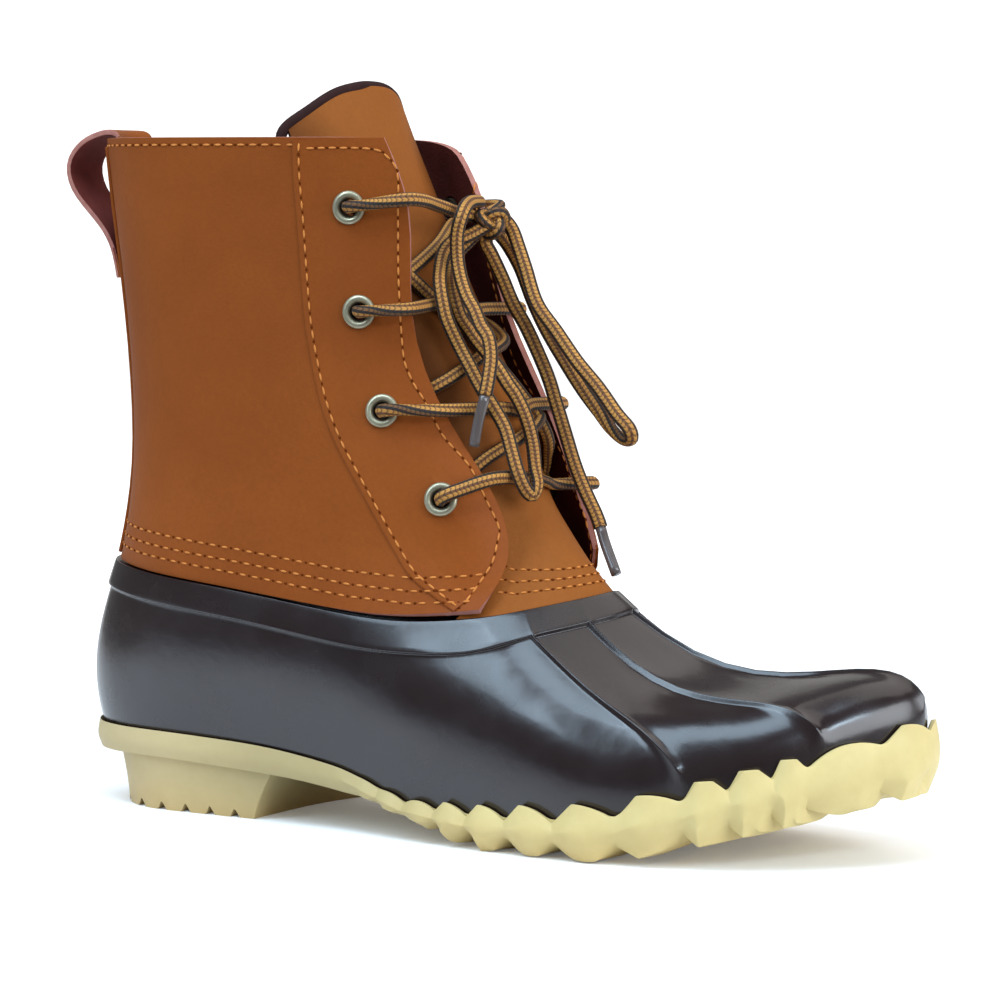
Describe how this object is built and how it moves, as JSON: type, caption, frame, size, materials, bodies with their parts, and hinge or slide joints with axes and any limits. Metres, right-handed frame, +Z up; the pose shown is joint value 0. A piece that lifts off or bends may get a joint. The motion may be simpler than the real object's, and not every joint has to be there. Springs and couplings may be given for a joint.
{
  "type": "duck boot",
  "caption": "Lace-up ankle boot with a leather shaft on a moulded rubber shoe, chain-lug sole, tongue, back pull loop and tied lace; stands on heel and forefoot.",
  "frame": {"origin": "middle of the heel's tread, on the floor", "axes": "+X towards the toe, +Y towards the inner (medial) side, +Z up"},
  "size_m": [0.299, 0.0981, 0.2275],
  "materials": {
    "cream_rubber": "satin",
    "brown_rubber": "gloss",
    "leather": "waxed, slightly grained",
    "lining": "matte",
    "brass": "antique",
    "lace": "braided"
  },
  "bodies": {
    "root": {"outsole": "cream_rubber", "rubber_shell": "brown_rubber", "insole": "lining", "leather_shaft": "leather", "back_stay": "leather", "tongue": "leather", "pull_loop": "leather", "lace_crossings": "lace", "lace_knot": "lace", "lace_loop_near": "lace", "lace_loop_far": "lace", "lace_end_near": "lace", "lace_end_far": "lace", "eyelet_lateral_1": "brass", "eyelet_lateral_2": "brass", "eyelet_lateral_3": "brass", "eyelet_lateral_4": "brass", "eyelet_medial_1": "brass", "eyelet_medial_2": "brass", "eyelet_medial_3": "brass", "eyelet_medial_4": "brass"}
  },
  "joints": []
}
